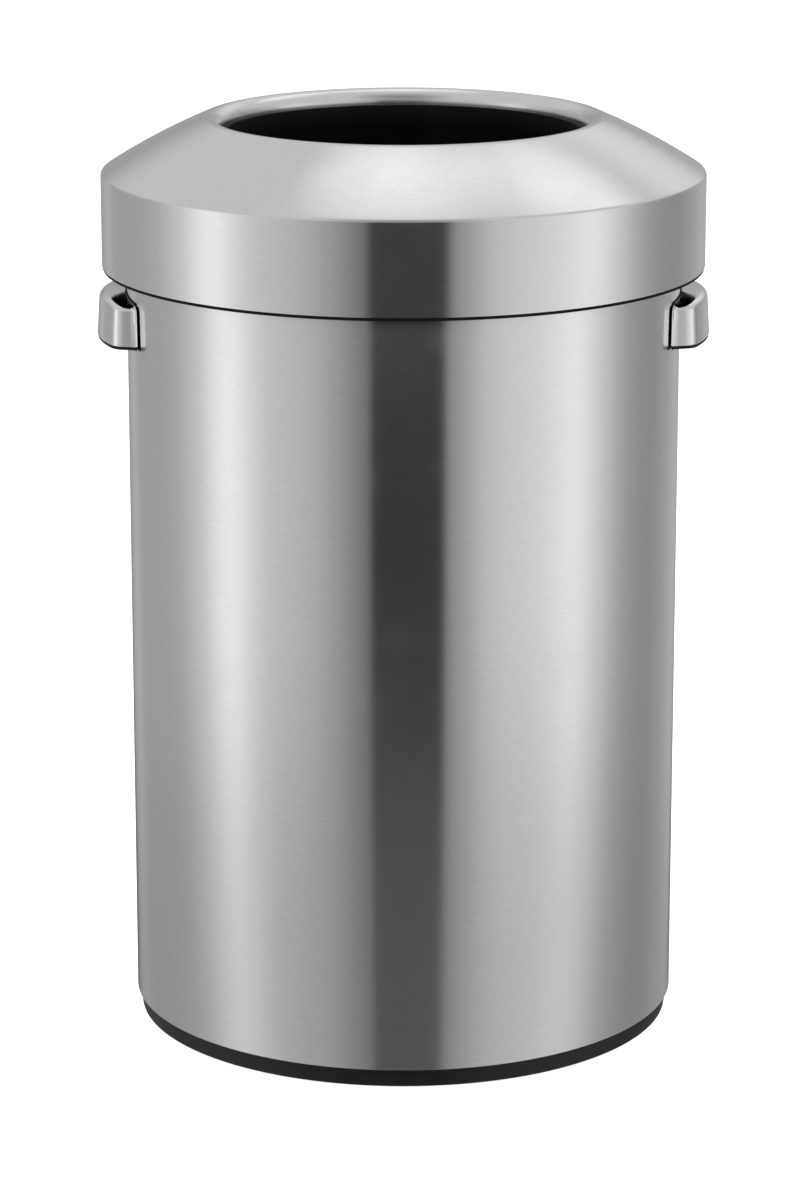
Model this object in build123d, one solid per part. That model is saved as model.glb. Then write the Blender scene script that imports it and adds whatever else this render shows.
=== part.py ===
from build123d import *
from math import asin, atan2, cos, degrees, hypot, radians, sin, sqrt
import os

# A round open-top trash can of about 65 litres: a rolled steel body on a plastic base ring, a
# hanging plastic liner, a lift-off steel dome with a round mouth, and a cup handle on each side.
# Millimetres, +Z up, origin on the floor on the can's axis, front towards -Y, handles on +X and -X.

# Steel body
body_radius = 192.5        # outside of the rolled sheet
body_sheet = 0.8
body_height = 548.0        # height of the rolled sheet
seam_width = 14.0          # lap of the rolled sheet, inside at the back
seam_sheet = 0.8
fit_gap = 0.15             # between pieces that are fixed to each other
edge_inset = 0.4           # plastic edges stand back this far from the sheet that they carry
edge_round = 0.6           # moulded edges that show

# Base ring
base_height = 13.8         # floor to the lower edge of the sheet
base_inset = 3.4           # base ring stands back from the body
base_wall = 3.0
base_channel = 13.0        # clear width between the base ring's two walls
base_ledge = 3.0           # thickness of the ledge that carries the pan
base_seat = 1.4            # thickness of the lip under the sheet's edge
plug_height = 16.0         # part of the base ring that goes up inside the sheet
plug_wall = 3.0
base_rib = 1.8
base_rib_foot = 2.0        # ribs start this far above the walls' lower edge
base_rib_count = 24

# Foot pads, bottom pan and its rivets
pad_count = 6
pad_radius = 5.4
pad_height = 2.4
pad_stand = 0.8            # pads stand out below the base ring
pad_boss_radius = 6.0
pan_sheet = 0.8
pan_flange = 16.0          # flat rim that lies on the ledge
pan_rise = 7.0
pan_bead_radius = 105.0    # stiffening bead pressed into the pan
pan_bead_width = 16.0
pan_bead_depth = 3.0
rivet_count = 6
rivet_radius = 2.0
rivet_head_radius = 4.0
rivet_head = 1.2
rivet_tail_radius = 3.0
rivet_tail = 2.0

# Collar on the upper edge of the sheet
collar_wall = 2.0
collar_depth = 16.0
collar_top = 2.0
collar_play = 0.2          # groove to each side of the sheet

# Liner
liner_wall = 2.0
liner_side_gap = 11.4      # collar to the liner's wall at the top
liner_draft = 8.0          # radius lost from top to bottom
liner_floor_gap = 12.0     # pan to the liner's floor
liner_corner = 20.0
liner_flange = 2.5
liner_flange_lap = 3.6     # how far the flange lies on the collar
liner_guide_play = 0.6     # collar to the guide ring under the flange
liner_guide_wall = 1.6
liner_guide_depth = 8.0
liner_hoop_height = 10.0
liner_hoop_out = 1.6
liner_hoop_drop = 150.0    # flange to the upper hoop
liner_hoop_step = 190.0    # from one hoop down to the next
liner_hoop_count = 2
hand_hole_width = 112.0
hand_hole_height = 34.0
hand_hole_drop = 30.0      # flange to the middle of the hand hole

# Lid
lid_sheet = 0.8
lid_overhang = 17.0        # skirt stands out from the body
skirt_lap = 26.1           # skirt hangs below the top of the liner's flange
skirt_height = 63.8
shoulder_round = 3.0
dome_rise = 38.0           # shoulder to the crest of the rim
mouth_radius = 126.0
rim_roll = 10.0            # radius of the rim rolled round the mouth
rim_lip = 5.0              # straight lip below the rolled rim
dome_bow = 5.0             # degrees by which the slope starts flatter than a straight cone

# Plastic frame in the lid
frame_wall = 2.4
frame_web = 3.0
frame_reach = 9.0          # web reaches in over the liner's flange
frame_lip = 2.3            # edge that shows below the skirt
guide_gap = 1.3            # collar to the frame's guide wall
guide_wall = 2.0
guide_depth = 20.0
frame_rib = 1.6
frame_rib_height = 12.0
frame_rib_count = 24
bumper_count = 6
bumper_radius = 3.5
bumper_height = 1.5
bumper_margin = 1.0        # bumper to the edge of the liner's flange

# Throat in the mouth
throat_gap = 0.2           # between lip and throat
throat_wall = 1.8
throat_flange = 2.0
throat_tube = 9.0          # straight stretch behind the lip
throat_overlap = 4.0       # throat's edge stands this far above the lip's lower edge
throat_flare = 26.0        # radius gained from mouth to flange
throat_bend = 24.0
throat_foot_bend = 10.0

# Tabs and screws that hold frame and throat in the lid
tab_count = 4
tab_sheet = 1.2
tab_angle = 6.0            # degrees round the lid
tab_height = 17.0
tab_reach = 12.0
hole_play = 0.12           # screw to its hole, all round
lid_screw_radius = 1.9
lid_screw_head_radius = 3.4
lid_screw_head = 2.6
lid_screw_past = 2.0

# Cup handles
handle_half_length = 59.0
handle_projection = 20.9
handle_curve = 125.0       # plan radius of the outer face
handle_corner = 8.0
handle_height = 30.0
handle_draft = 3.4         # degrees
handle_round = 5.0
handle_wall = 2.4
handle_below_lid = 19.0    # skirt's lower edge to the top of the handle
grip_half_width = 36.0
grip_roof = 3.0
gasket_thickness = 1.0
insert_flange = 2.2
insert_wall = 1.4
insert_margin = 0.4

# Screws and backing plates of the handles
handle_screw_radius = 2.4
handle_screw_inset = 12.5  # handle's end to the screw
handle_screw_bite = 9.0
handle_screw_head_radius = 4.0
handle_screw_head = 2.6
washer_radius = 5.2
washer_thickness = 1.0
boss_wall = 3.2
backplate_sheet = 1.5
backplate_end = 10.0       # screw to the end of the plate
backplate_margin = 5.0     # handle's edges to the plate's edges
backplate_corner = 4.0

# What follows for the body and its base
body_inner = body_radius - body_sheet
sheet_top = base_height + body_height
ledge_z = base_height + base_ledge
base_outer = body_radius - base_inset
channel_outer = base_outer - base_wall
channel_inner = channel_outer - base_channel
channel_middle = (channel_outer + channel_inner) / 2
plug_outer = body_inner - fit_gap
pan_edge = plug_outer - plug_wall - fit_gap
pan_z = ledge_z + pan_sheet
pan_floor = pan_z + pan_rise

# What follows for the collar and the liner
groove_inner = body_inner - collar_play
groove_outer = body_radius + collar_play
collar_inner = groove_inner - collar_wall
collar_outer = groove_outer + collar_wall
collar_low = sheet_top - collar_depth
collar_seat = sheet_top + collar_top
flange_top = collar_seat + liner_flange
flange_edge = collar_inner + liner_flange_lap
liner_outer = collar_inner - liner_side_gap
liner_foot = liner_outer - liner_draft
liner_bottom = pan_floor + liner_floor_gap

# What follows for the lid
lid_radius = body_radius + lid_overhang
skirt_inner = lid_radius - lid_sheet
skirt_low = flange_top - skirt_lap
shoulder_z = skirt_low + skirt_height
crest_z = shoulder_z + dome_rise
lip_low = crest_z - rim_roll - rim_lip
web_low = flange_top + bumper_height
web_top = web_low + frame_web
frame_outer = skirt_inner - fit_gap
frame_channel = frame_outer - frame_wall
frame_inner = flange_edge - frame_reach
guide_inner = collar_outer + guide_gap
guide_outer = guide_inner + guide_wall
throat_outer = mouth_radius - throat_gap
throat_inner = throat_outer - throat_wall
throat_top = lip_low + throat_overlap
tab_z = web_top + throat_flange
lid_screw_circle = (frame_channel + guide_outer) / 2

# What follows for the handles
gasket_inner = body_radius + fit_gap
gasket_outer = gasket_inner + gasket_thickness
handle_back = gasket_outer + fit_gap
handle_out = body_radius + handle_projection
handle_top = skirt_low - handle_below_lid
handle_low = handle_top - handle_height
handle_middle = (handle_top + handle_low) / 2
cavity_top = handle_top - grip_roof
backplate_outer = body_inner - fit_gap
backplate_inner = backplate_outer - backplate_sheet
handle_screw_angle = degrees(asin((handle_half_length - handle_screw_inset) / handle_back))
handle_screw_turns = (-handle_screw_angle, handle_screw_angle)
handle_sides = {"right": 0.0, "left": 180.0}


def spread(count, first=0.0):
    """Angles of evenly spaced pieces."""
    return [first + 360.0 * i / count for i in range(count)]


# Angles of what stands round the base and in the lid, kept clear of each other
rivet_angles = spread(rivet_count)
pad_angles = spread(pad_count, 30.0)
base_rib_angles = spread(base_rib_count, 7.5)
tab_angles = spread(tab_count, 45.0)
frame_rib_angles = spread(frame_rib_count, 7.5)
bumper_angles = spread(bumper_count, 15.0)


def turned(points, rounds=None, angle=360.0):
    """Ring, or a sector of one, turned about the can's axis from (radius, height) points."""
    radii = rounds or [0] * len(points)
    outline = FilletPolyline(*points, radius=radii, close=True) if any(radii) else None
    outline = outline or Polyline(*points, close=True)
    ring = revolve(Plane.XZ * make_face(outline), Axis.Z, angle)
    return ring if angle == 360.0 else Rot(0, 0, -angle / 2) * ring


def upright(radius, low, high, circle=0.0, angle=0.0):
    """Cylinder along Z from low to high, on a circle about the can's axis."""
    place = Pos(circle * cos(radians(angle)), circle * sin(radians(angle)), low)
    return place * Cylinder(radius, high - low, align=(Align.CENTER, Align.CENTER, Align.MIN))


def radial(radius, start, end, z, angle):
    """Cylinder along a radius of the can, from start to end off its axis."""
    rod = Cylinder(radius, end - start, align=(Align.CENTER, Align.CENTER, Align.MIN))
    return Rot(0, 0, angle) * Pos(start, 0, z) * Rot(0, 90, 0) * rod


def radial_rib(inner, outer, low, high, thickness, angle):
    """Flat rib that stands on a radius of the can."""
    rib = Box(outer - inner, thickness, high - low, align=(Align.MIN, Align.CENTER, Align.MIN))
    return Rot(0, 0, angle) * Pos(inner, 0, low) * rib


def body_shell():
    """Rolled sheet with a lap inside at the back, and a hole for each handle screw."""
    shell = turned([(body_inner, base_height), (body_radius, base_height),
                    (body_radius, sheet_top), (body_inner, sheet_top)])
    lap_low = base_height + plug_height + fit_gap
    lap_high = collar_low - fit_gap
    lap = turned([(body_inner - seam_sheet, lap_low), (body_inner, lap_low),
                  (body_inner, lap_high), (body_inner - seam_sheet, lap_high)],
                 angle=degrees(seam_width / body_inner))
    shell += Rot(0, 0, 90) * lap
    for side in handle_sides.values():
        for turn in handle_screw_turns:
            shell -= radial(handle_screw_radius + hole_play, backplate_inner,
                            handle_back, handle_middle, side + turn)
    return shell


def base_ring():
    """Ribbed channel that the sheet is pressed over, with a ledge for the pan."""
    inner_wall = channel_inner - base_wall
    seat_outer = body_radius - edge_inset
    seat_low = base_height - base_seat
    plug_top = base_height + plug_height
    plug_inner = plug_outer - plug_wall
    ring = turned(
        [(channel_outer, pad_stand), (base_outer, pad_stand), (base_outer, seat_low),
         (seat_outer, seat_low), (seat_outer, base_height), (plug_outer, base_height),
         (plug_outer, plug_top), (plug_inner, plug_top), (plug_inner, ledge_z),
         (inner_wall, ledge_z), (inner_wall, pad_stand), (channel_inner, pad_stand),
         (channel_inner, base_height), (channel_outer, base_height)],
        [0, edge_round, 0, edge_round] + [0] * 10)
    for angle in base_rib_angles:
        ring += radial_rib(channel_inner - base_wall / 2, channel_outer + base_wall / 2,
                           pad_stand + base_rib_foot, base_height + base_ledge / 2,
                           base_rib, angle)
    for angle in pad_angles:
        ring += upright(pad_boss_radius, pad_height, base_height + base_ledge / 2,
                        channel_middle, angle)
    for angle in rivet_angles:
        ring -= upright(rivet_radius + hole_play, base_height - base_ledge, ledge_z + base_ledge,
                        channel_middle, angle)
    return ring


def foot_pads():
    """Rubber pads under the base ring's bosses: what the can stands on."""
    return [upright(pad_radius, 0, pad_height, channel_middle, angle) for angle in pad_angles]


def bottom_pan():
    """Pressed pan on the base ring's ledge, raised in the middle, with a round bead."""
    flange_inner = pan_edge - pan_flange
    rise_inner = flange_inner - pan_rise
    bead_out = pan_bead_radius + pan_bead_width / 2
    bead_in = pan_bead_radius - pan_bead_width / 2
    bead_low = pan_floor - pan_bead_depth
    upper = [(pan_edge, pan_z), (flange_inner, pan_z), (rise_inner, pan_floor),
             (bead_out, pan_floor), (bead_out - pan_bead_depth, bead_low),
             (bead_in + pan_bead_depth, bead_low), (bead_in, pan_floor), (0, pan_floor)]
    lower = [(radius, z - pan_sheet) for radius, z in reversed(upper)]
    pan = turned(upper + lower)
    for angle in rivet_angles:
        pan -= upright(rivet_radius + hole_play, base_height, pan_z + pan_sheet,
                       channel_middle, angle)
    return pan


def base_rivets():
    """Blind rivets through the pan and the ledge."""
    tail_low = base_height - rivet_tail
    head_top = pan_z + rivet_head
    rivets = []
    for angle in rivet_angles:
        rivet = upright(rivet_radius, tail_low, head_top, channel_middle, angle)
        rivet += upright(rivet_head_radius, pan_z, head_top, channel_middle, angle)
        rivet += upright(rivet_tail_radius, tail_low, base_height, channel_middle, angle)
        rivets.append(rivet)
    return rivets


def top_collar():
    """Collar grooved for the sheet's upper edge; the liner hangs on its flat top."""
    return turned(
        [(collar_inner, collar_low), (groove_inner, collar_low), (groove_inner, sheet_top),
         (groove_outer, sheet_top), (groove_outer, collar_low), (collar_outer, collar_low),
         (collar_outer, collar_seat), (collar_inner, collar_seat)],
        [0, 0, 0, 0, 0, 0, edge_round, 0])


def liner_bucket():
    """Tapered bucket hung by its flange, with two hoops and a hand hole front and back."""
    guide_outside = collar_inner - liner_guide_play
    guide_inside = guide_outside - liner_guide_wall
    guide_low = collar_seat - liner_guide_depth
    floor_top = liner_bottom + liner_wall
    bucket = turned(
        [(0, liner_bottom), (liner_foot, liner_bottom), (liner_outer, collar_seat),
         (guide_inside, collar_seat), (guide_inside, guide_low), (guide_outside, guide_low),
         (guide_outside, collar_seat), (flange_edge, collar_seat), (flange_edge, flange_top),
         (liner_outer - liner_wall, flange_top), (liner_foot - liner_wall, floor_top),
         (0, floor_top)],
        [0, liner_corner, 0, 0, 0, 0, 0, 0, edge_round, liner_wall,
         liner_corner - liner_wall, 0])
    for step in range(liner_hoop_count):
        high = flange_top - liner_hoop_drop - liner_hoop_step * step
        low = high - liner_hoop_height
        depth = (collar_seat - low) / (collar_seat - liner_bottom)
        outside = liner_outer - liner_draft * depth + liner_hoop_out
        inside = outside - liner_hoop_out - liner_wall / 2
        bucket += turned([(inside, low), (outside, low + liner_hoop_out),
                          (outside, high - liner_hoop_out), (inside, high)])
    slot = Pos(0, flange_top - hand_hole_drop) * SlotOverall(hand_hole_width, hand_hole_height)
    return bucket - extrude(Plane.XZ * slot, flange_edge, both=True)


def lid_cover():
    """Spun dome: skirt, soft shoulder, slightly crowned slope and a rim rolled into the mouth."""
    roll_radius = mouth_radius + rim_roll
    roll_z = crest_z - rim_roll
    run = lid_radius - roll_radius
    drop = roll_z - shoulder_z
    cone_angle = atan2(drop, run) + asin(rim_roll / hypot(run, drop))
    crown_angle = cone_angle - radians(dome_bow)
    crown = (roll_radius + rim_roll * sin(crown_angle), roll_z + rim_roll * cos(crown_angle))
    slope_start = (cos(crown_angle), -sin(crown_angle))
    below = skirt_low - frame_lip
    outline = [
        Line((mouth_radius, below), (mouth_radius, roll_z)),
        TangentArc((mouth_radius, roll_z), crown, tangent=(0, 1)),
        TangentArc(crown, (lid_radius, shoulder_z), tangent=slope_start),
        Line((lid_radius, shoulder_z), (lid_radius, below)),
        Line((lid_radius, below), (mouth_radius, below))]
    region = make_face(outline)
    corner = region.vertices().sort_by_distance(Vector(lid_radius, shoulder_z))[0]
    region = fillet(corner, shoulder_round)
    sheet = region - offset(region, -lid_sheet)
    under_skirt = Pos(mouth_radius, skirt_low) * Rectangle(
        lid_radius * 2, skirt_height, align=(Align.CENTER, Align.MAX))
    under_lip = Pos(mouth_radius, lip_low) * Rectangle(
        rim_roll * 2, crest_z - skirt_low, align=(Align.CENTER, Align.MAX))
    return revolve(Plane.XZ * (sheet - under_skirt - under_lip), Axis.Z)


def lid_frame():
    """Ribbed frame: outer wall behind the skirt, web over the flange, guide round the collar."""
    lip_outer = lid_radius - edge_inset
    low = skirt_low - frame_lip
    guide_low = web_low - guide_depth
    frame = turned(
        [(frame_channel, low), (lip_outer, low), (lip_outer, skirt_low),
         (frame_outer, skirt_low), (frame_outer, web_top), (frame_inner, web_top),
         (frame_inner, web_low), (guide_inner, web_low), (guide_inner, guide_low),
         (guide_outer, guide_low), (guide_outer, web_low), (frame_channel, web_low)],
        [0, edge_round] + [0] * 10)
    for angle in frame_rib_angles:
        frame += radial_rib(guide_outer - guide_wall / 2, frame_channel + frame_wall / 2,
                            web_low - frame_rib_height, web_low + frame_web / 2,
                            frame_rib, angle)
    return drill_lid_screws(frame)


def throat_ring():
    """Funnel that lines the mouth: a tube behind the steel lip flared out to a flange."""
    tube_low = throat_top - throat_tube
    throat = turned(
        [(throat_inner, throat_top), (throat_outer, throat_top), (throat_outer, tube_low),
         (throat_outer + throat_flare, tab_z), (frame_outer, tab_z), (frame_outer, web_top),
         (throat_inner + throat_flare, web_top), (throat_inner, tube_low)],
        [edge_round, 0, throat_bend, throat_foot_bend, 0, 0,
         throat_foot_bend + throat_wall, throat_bend + throat_wall])
    return drill_lid_screws(throat)


def lid_tabs():
    """Angle tabs welded inside the skirt; their feet take the lid screws."""
    foot_top = tab_z + tab_sheet
    leg_top = tab_z + tab_height
    leg_outer = skirt_inner - fit_gap
    leg_inner = leg_outer - tab_sheet
    foot_inner = leg_outer - tab_reach
    tab = turned([(foot_inner, tab_z), (leg_outer, tab_z), (leg_outer, leg_top),
                  (leg_inner, leg_top), (leg_inner, foot_top), (foot_inner, foot_top)],
                 angle=tab_angle)
    return [drill_lid_screws(Rot(0, 0, angle) * tab) for angle in tab_angles]


def drill_lid_screws(shape):
    """The same screw holes through whatever lies between web and tab."""
    for angle in tab_angles:
        shape -= upright(lid_screw_radius + hole_play, web_low - frame_web,
                         tab_z + tab_height, lid_screw_circle, angle)
    return shape


def lid_screws():
    """Screws from below through web, throat flange and tab."""
    screws = []
    for angle in tab_angles:
        screw = upright(lid_screw_radius, web_low - lid_screw_head / 2,
                        tab_z + tab_sheet + lid_screw_past, lid_screw_circle, angle)
        screw += upright(lid_screw_head_radius, web_low - lid_screw_head, web_low,
                         lid_screw_circle, angle)
        screws.append(screw)
    return screws


def lid_bumpers():
    """Soft pads under the web, which rest on the liner's flange."""
    circle = flange_edge - bumper_margin - bumper_radius
    return [upright(bumper_radius, flange_top, web_low, circle, angle)
            for angle in bumper_angles]


def handle_plan(inset):
    """Plan of a handle on +X, bowed outwards, with its back edge inside the body."""
    end_y = handle_half_length - inset
    reach = handle_curve - inset
    centre_x = handle_out - handle_curve
    end_x = centre_x + sqrt(reach ** 2 - end_y ** 2)
    back_x = centre_x - handle_corner
    plan = make_face([
        ThreePointArc((end_x, -end_y), (centre_x + reach, 0), (end_x, end_y)),
        Line((end_x, end_y), (back_x, end_y)),
        Line((back_x, end_y), (back_x, -end_y)),
        Line((back_x, -end_y), (end_x, -end_y))])
    corners = plan.vertices().group_by(Axis.X)[-1]
    return fillet(corners, max(handle_corner - inset, handle_corner / 4))


def handle_block(inset, low, high, draft=handle_draft):
    """Block on the handle's plan, drafted inwards on its way up."""
    return extrude(Pos(0, 0, low) * handle_plan(inset), high - low, taper=draft)


def off_the_body(shape, radius):
    """Shape without what lies inside a radius of the can."""
    return shape - upright(radius, handle_low - handle_height, handle_top + handle_height)


def drill_handle_screws(shape, start, end):
    """The same screw holes through whatever the handle screws pass."""
    for turn in handle_screw_turns:
        shape -= radial(handle_screw_radius + hole_play, start, end, handle_middle, turn)
    return shape


def grip_space(half_width):
    """Slab as wide as the finger space, to cut with or to keep."""
    return Pos(0, 0, handle_middle) * Box(
        handle_out * 2, half_width * 2, handle_height * 2,
        align=(Align.MIN, Align.CENTER, Align.CENTER))


def handle_shell():
    """Die-cast cup, open below and towards the body, with a boss for each screw."""
    outside = handle_block(0, handle_low, handle_top)
    top_edges = outside.faces().sort_by(Axis.Z)[-1].edges().sort_by(Axis.X)[1:]
    outside = fillet(top_edges, handle_round)
    shell = outside - handle_block(handle_wall, handle_low, cavity_top)
    for turn in handle_screw_turns:
        boss = radial(handle_screw_radius + boss_wall, body_radius, handle_out,
                      handle_middle, turn)
        shell += boss & outside
    shell = off_the_body(shell, handle_back)
    return drill_handle_screws(shell, body_radius, handle_back + handle_screw_bite + hole_play)


def handle_insert():
    """Plastic lining of the finger space, with a flange that closes the cup from below."""
    lining = handle_block(handle_wall + fit_gap, handle_low, cavity_top - fit_gap)
    lining &= grip_space(grip_half_width + insert_wall)
    flange = handle_block(insert_margin, handle_low - insert_flange, handle_low, draft=0)
    fingers = handle_block(handle_wall + fit_gap + insert_wall, handle_low - insert_flange,
                           cavity_top - fit_gap - insert_wall)
    insert = lining + flange - (fingers & grip_space(grip_half_width))
    return off_the_body(insert, handle_back + fit_gap)


def handle_gasket():
    """Thin gasket on the body behind the handle's roof and ends."""
    gasket = handle_block(0, handle_low, handle_top)
    gasket &= upright(gasket_outer, handle_low, handle_top)
    window = grip_space(grip_half_width) & upright(handle_out, handle_low, cavity_top)
    gasket = off_the_body(gasket - window, gasket_inner)
    return drill_handle_screws(gasket, body_inner, handle_back)


def handle_backing_plate():
    """Curved plate inside the body that spreads the load of the handle's screws."""
    low = handle_low + backplate_margin
    high = handle_top - backplate_margin
    plate = turned([(backplate_inner, low), (backplate_outer, low), (backplate_outer, high),
                    (backplate_inner, high)],
                   angle=2 * (handle_screw_angle + degrees(backplate_end / backplate_outer)))
    corners = plate.edges().filter_by(lambda edge: edge.length < backplate_sheet * 1.01)
    plate = fillet(corners, backplate_corner)
    return drill_handle_screws(plate, backplate_inner - backplate_sheet, body_radius)


def handle_screws():
    """Washer-head screws from inside the body into the handle's bosses."""
    seat = backplate_inner - fit_gap
    screws = []
    for turn in handle_screw_turns:
        screw = radial(handle_screw_radius, seat - washer_thickness / 2,
                       handle_back + handle_screw_bite, handle_middle, turn)
        screw += radial(washer_radius, seat - washer_thickness, seat, handle_middle, turn)
        screw += radial(handle_screw_head_radius, seat - washer_thickness - handle_screw_head,
                        seat - washer_thickness, handle_middle, turn)
        screws.append(screw)
    return screws


def save(name, shapes):
    """One file for each named piece, or for a group of identical ones."""
    whole = Compound(children=list(shapes)) if isinstance(shapes, list) else shapes
    export_step(whole, f"parts/{name}.step")


def main():
    os.makedirs("parts", exist_ok=True)
    for piece in (body_shell, base_ring, foot_pads, bottom_pan, base_rivets, top_collar,
                  liner_bucket, lid_cover, lid_frame, throat_ring, lid_tabs, lid_screws,
                  lid_bumpers):
        save(piece.__name__, piece())
    for piece in (handle_shell, handle_insert, handle_gasket, handle_backing_plate,
                  handle_screws):
        made = piece()
        for side, angle in handle_sides.items():
            turned_to_side = Rot(0, 0, angle)
            placed = [turned_to_side * one for one in made] if isinstance(made, list) \
                else turned_to_side * made
            save(f"{side}_{piece.__name__}", placed)


main()
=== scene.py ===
import bmesh
import bpy
import math
import numpy as np
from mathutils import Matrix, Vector


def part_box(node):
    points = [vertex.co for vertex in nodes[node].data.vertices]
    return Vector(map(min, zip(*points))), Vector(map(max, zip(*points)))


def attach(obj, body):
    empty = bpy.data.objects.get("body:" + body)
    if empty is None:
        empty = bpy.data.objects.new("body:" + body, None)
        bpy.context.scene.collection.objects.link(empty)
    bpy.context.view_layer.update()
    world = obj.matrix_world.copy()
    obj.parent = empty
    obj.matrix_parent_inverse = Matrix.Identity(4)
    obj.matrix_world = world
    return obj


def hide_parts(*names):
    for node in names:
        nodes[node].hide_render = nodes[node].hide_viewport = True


# Open-top trash can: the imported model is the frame, and the pieces that show get finer surfaces
# and finishes here. Metres, floor at z = 0, front towards -Y, handles on +X and -X.

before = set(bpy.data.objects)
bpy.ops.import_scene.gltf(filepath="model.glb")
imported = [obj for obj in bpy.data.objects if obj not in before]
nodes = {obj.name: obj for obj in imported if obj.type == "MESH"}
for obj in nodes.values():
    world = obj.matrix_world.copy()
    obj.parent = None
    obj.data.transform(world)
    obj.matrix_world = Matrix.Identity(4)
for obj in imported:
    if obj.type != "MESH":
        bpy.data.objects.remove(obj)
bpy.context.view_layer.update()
scene = bpy.context.scene
scene.view_settings.view_transform = "Standard"
print("stage: frame loaded,", len(nodes), "nodes")


def meshObject(name, verts, faces, smooth=True, sharpAngle=40.0):
    mesh = bpy.data.meshes.new(name)
    mesh.from_pydata(verts.tolist(), [], faces.tolist())
    mesh.polygons.foreach_set("use_smooth", np.full(len(faces), smooth))
    mesh.update()
    obj = bpy.data.objects.new(name, mesh)
    scene.collection.objects.link(obj)
    if smooth:
        mesh.set_sharp_from_angle(angle=math.radians(sharpAngle))
    return obj


def roundedOutline(corners, steps=6):
    # each corner is (radius, height, rounding); a rounding is an arc tangent to both sides,
    # drawn as its centre plus the rounding radius times a direction turned through the bend
    pts = np.array([c[:2] for c in corners], float)
    out = []
    for i, corner in enumerate(corners):
        here, before, after = pts[i], pts[i - 1], pts[(i + 1) % len(pts)]
        rounding = corner[2] if len(corner) > 2 else 0.0
        if rounding <= 0.0:
            out.append(here[None])
            continue
        inward = (before - here) / np.linalg.norm(before - here)
        onward = (after - here) / np.linalg.norm(after - here)
        half = 0.5 * math.acos(float(np.clip(inward @ onward, -1.0, 1.0)))
        reach = rounding / math.tan(half)
        bisector = (inward + onward) / np.linalg.norm(inward + onward)
        centre = here + bisector * rounding / math.sin(half)
        first, last = here + inward * reach - centre, here + onward * reach - centre
        turn = math.atan2(first[0] * last[1] - first[1] * last[0], float(first @ last))
        t = np.linspace(0.0, turn, steps)[:, None]
        out.append(centre + first * np.cos(t) + np.array([-first[1], first[0]]) * np.sin(t))
    return np.concatenate(out)


def turnedSurface(name, outline, columns=256, radiusShift=None, angles=None):
    # closed outline carried round the Z axis: x = r cos u, y = r sin u, z = height,
    # where r is the outline's radius plus an optional shift that depends on u and z
    outline = np.asarray(outline, float)
    u = angles if angles is not None else np.linspace(0.0, 2 * math.pi, columns, endpoint=False)
    radius = np.repeat(outline[:, :1], len(u), 1)
    height = np.repeat(outline[:, 1:], len(u), 1)
    if radiusShift is not None:
        radius = radius + radiusShift(u[None, :], height)
    verts = np.stack([radius * np.cos(u), radius * np.sin(u), height], -1).reshape(-1, 3)
    rows, cols = radius.shape
    i, j = np.meshgrid(np.arange(rows), np.arange(cols), indexing="ij")
    nextRow, nextCol = (i + 1) % rows, (j + 1) % cols
    faces = np.stack([i * cols + j, i * cols + nextCol, nextRow * cols + nextCol,
                      nextRow * cols + j], -1).reshape(-1, 4)
    area = np.sum(outline[:, 0] * np.roll(outline[:, 1], -1)
                  - np.roll(outline[:, 0], -1) * outline[:, 1])
    if area < 0.0:          # an outline drawn clockwise would turn the faces inwards
        faces = faces[:, ::-1]
    return meshObject(name, verts, faces)


def solidOfTurn(profile, centre, axis, columns=40, recess=None):
    # small headed part: a profile of (radius, height) turned round its own axis, poles closed;
    # the height of a point may drop by a recess that depends on its place across the axis
    profile = np.asarray(profile, float)
    u = np.linspace(0.0, 2 * math.pi, columns, endpoint=False)
    ring = profile[1:-1]
    x, y = ring[:, :1] * np.cos(u), ring[:, :1] * np.sin(u)
    z = np.repeat(ring[:, 1:], columns, 1)
    if recess is not None:
        z = z - recess(x, y, z)
    local = np.stack([x, y, z], -1).reshape(-1, 3)
    startPole, endPole = np.array([0, 0, profile[0, 1]]), np.array([0, 0, profile[-1, 1]])
    if recess is not None:
        drop = recess(np.zeros((1, 1)), np.zeros((1, 1)), np.full((1, 1), profile[-1, 1]))
        endPole = endPole - np.array([0, 0, float(drop[0, 0])])
    local = np.vstack([local, startPole, endPole])
    rows = len(ring)
    i, j = np.meshgrid(np.arange(rows - 1), np.arange(columns), indexing="ij")
    k = (j + 1) % columns
    quads = np.stack([i * columns + j, i * columns + k, (i + 1) * columns + k,
                      (i + 1) * columns + j], -1).reshape(-1, 4)
    edge = np.arange(columns)
    top = (rows - 1) * columns
    startCap = np.stack([np.full(columns, rows * columns), (edge + 1) % columns, edge], -1)
    endCap = np.stack([np.full(columns, rows * columns + 1), top + edge,
                       top + (edge + 1) % columns], -1)
    turn = Vector((0, 0, 1)).rotation_difference(Vector(axis)).to_matrix()
    local = local @ np.array(turn).T + np.array(centre)
    return local, [q.tolist() for q in quads] + [t.tolist() for t in startCap] \
        + [t.tolist() for t in endCap]


def gather(name, parts, sharpAngle=35.0):
    # several small closed parts in one mesh
    verts, faces, start = [], [], 0
    for local, own in parts:
        verts.append(local)
        faces += [[index + start for index in face] for face in own]
        start += len(local)
    mesh = bpy.data.meshes.new(name)
    mesh.from_pydata(np.vstack(verts).tolist(), [], faces)
    mesh.polygons.foreach_set("use_smooth", np.full(len(faces), True))
    mesh.update()
    mesh.set_sharp_from_angle(angle=math.radians(sharpAngle))
    obj = bpy.data.objects.new(name, mesh)
    scene.collection.objects.link(obj)
    return obj


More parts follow.
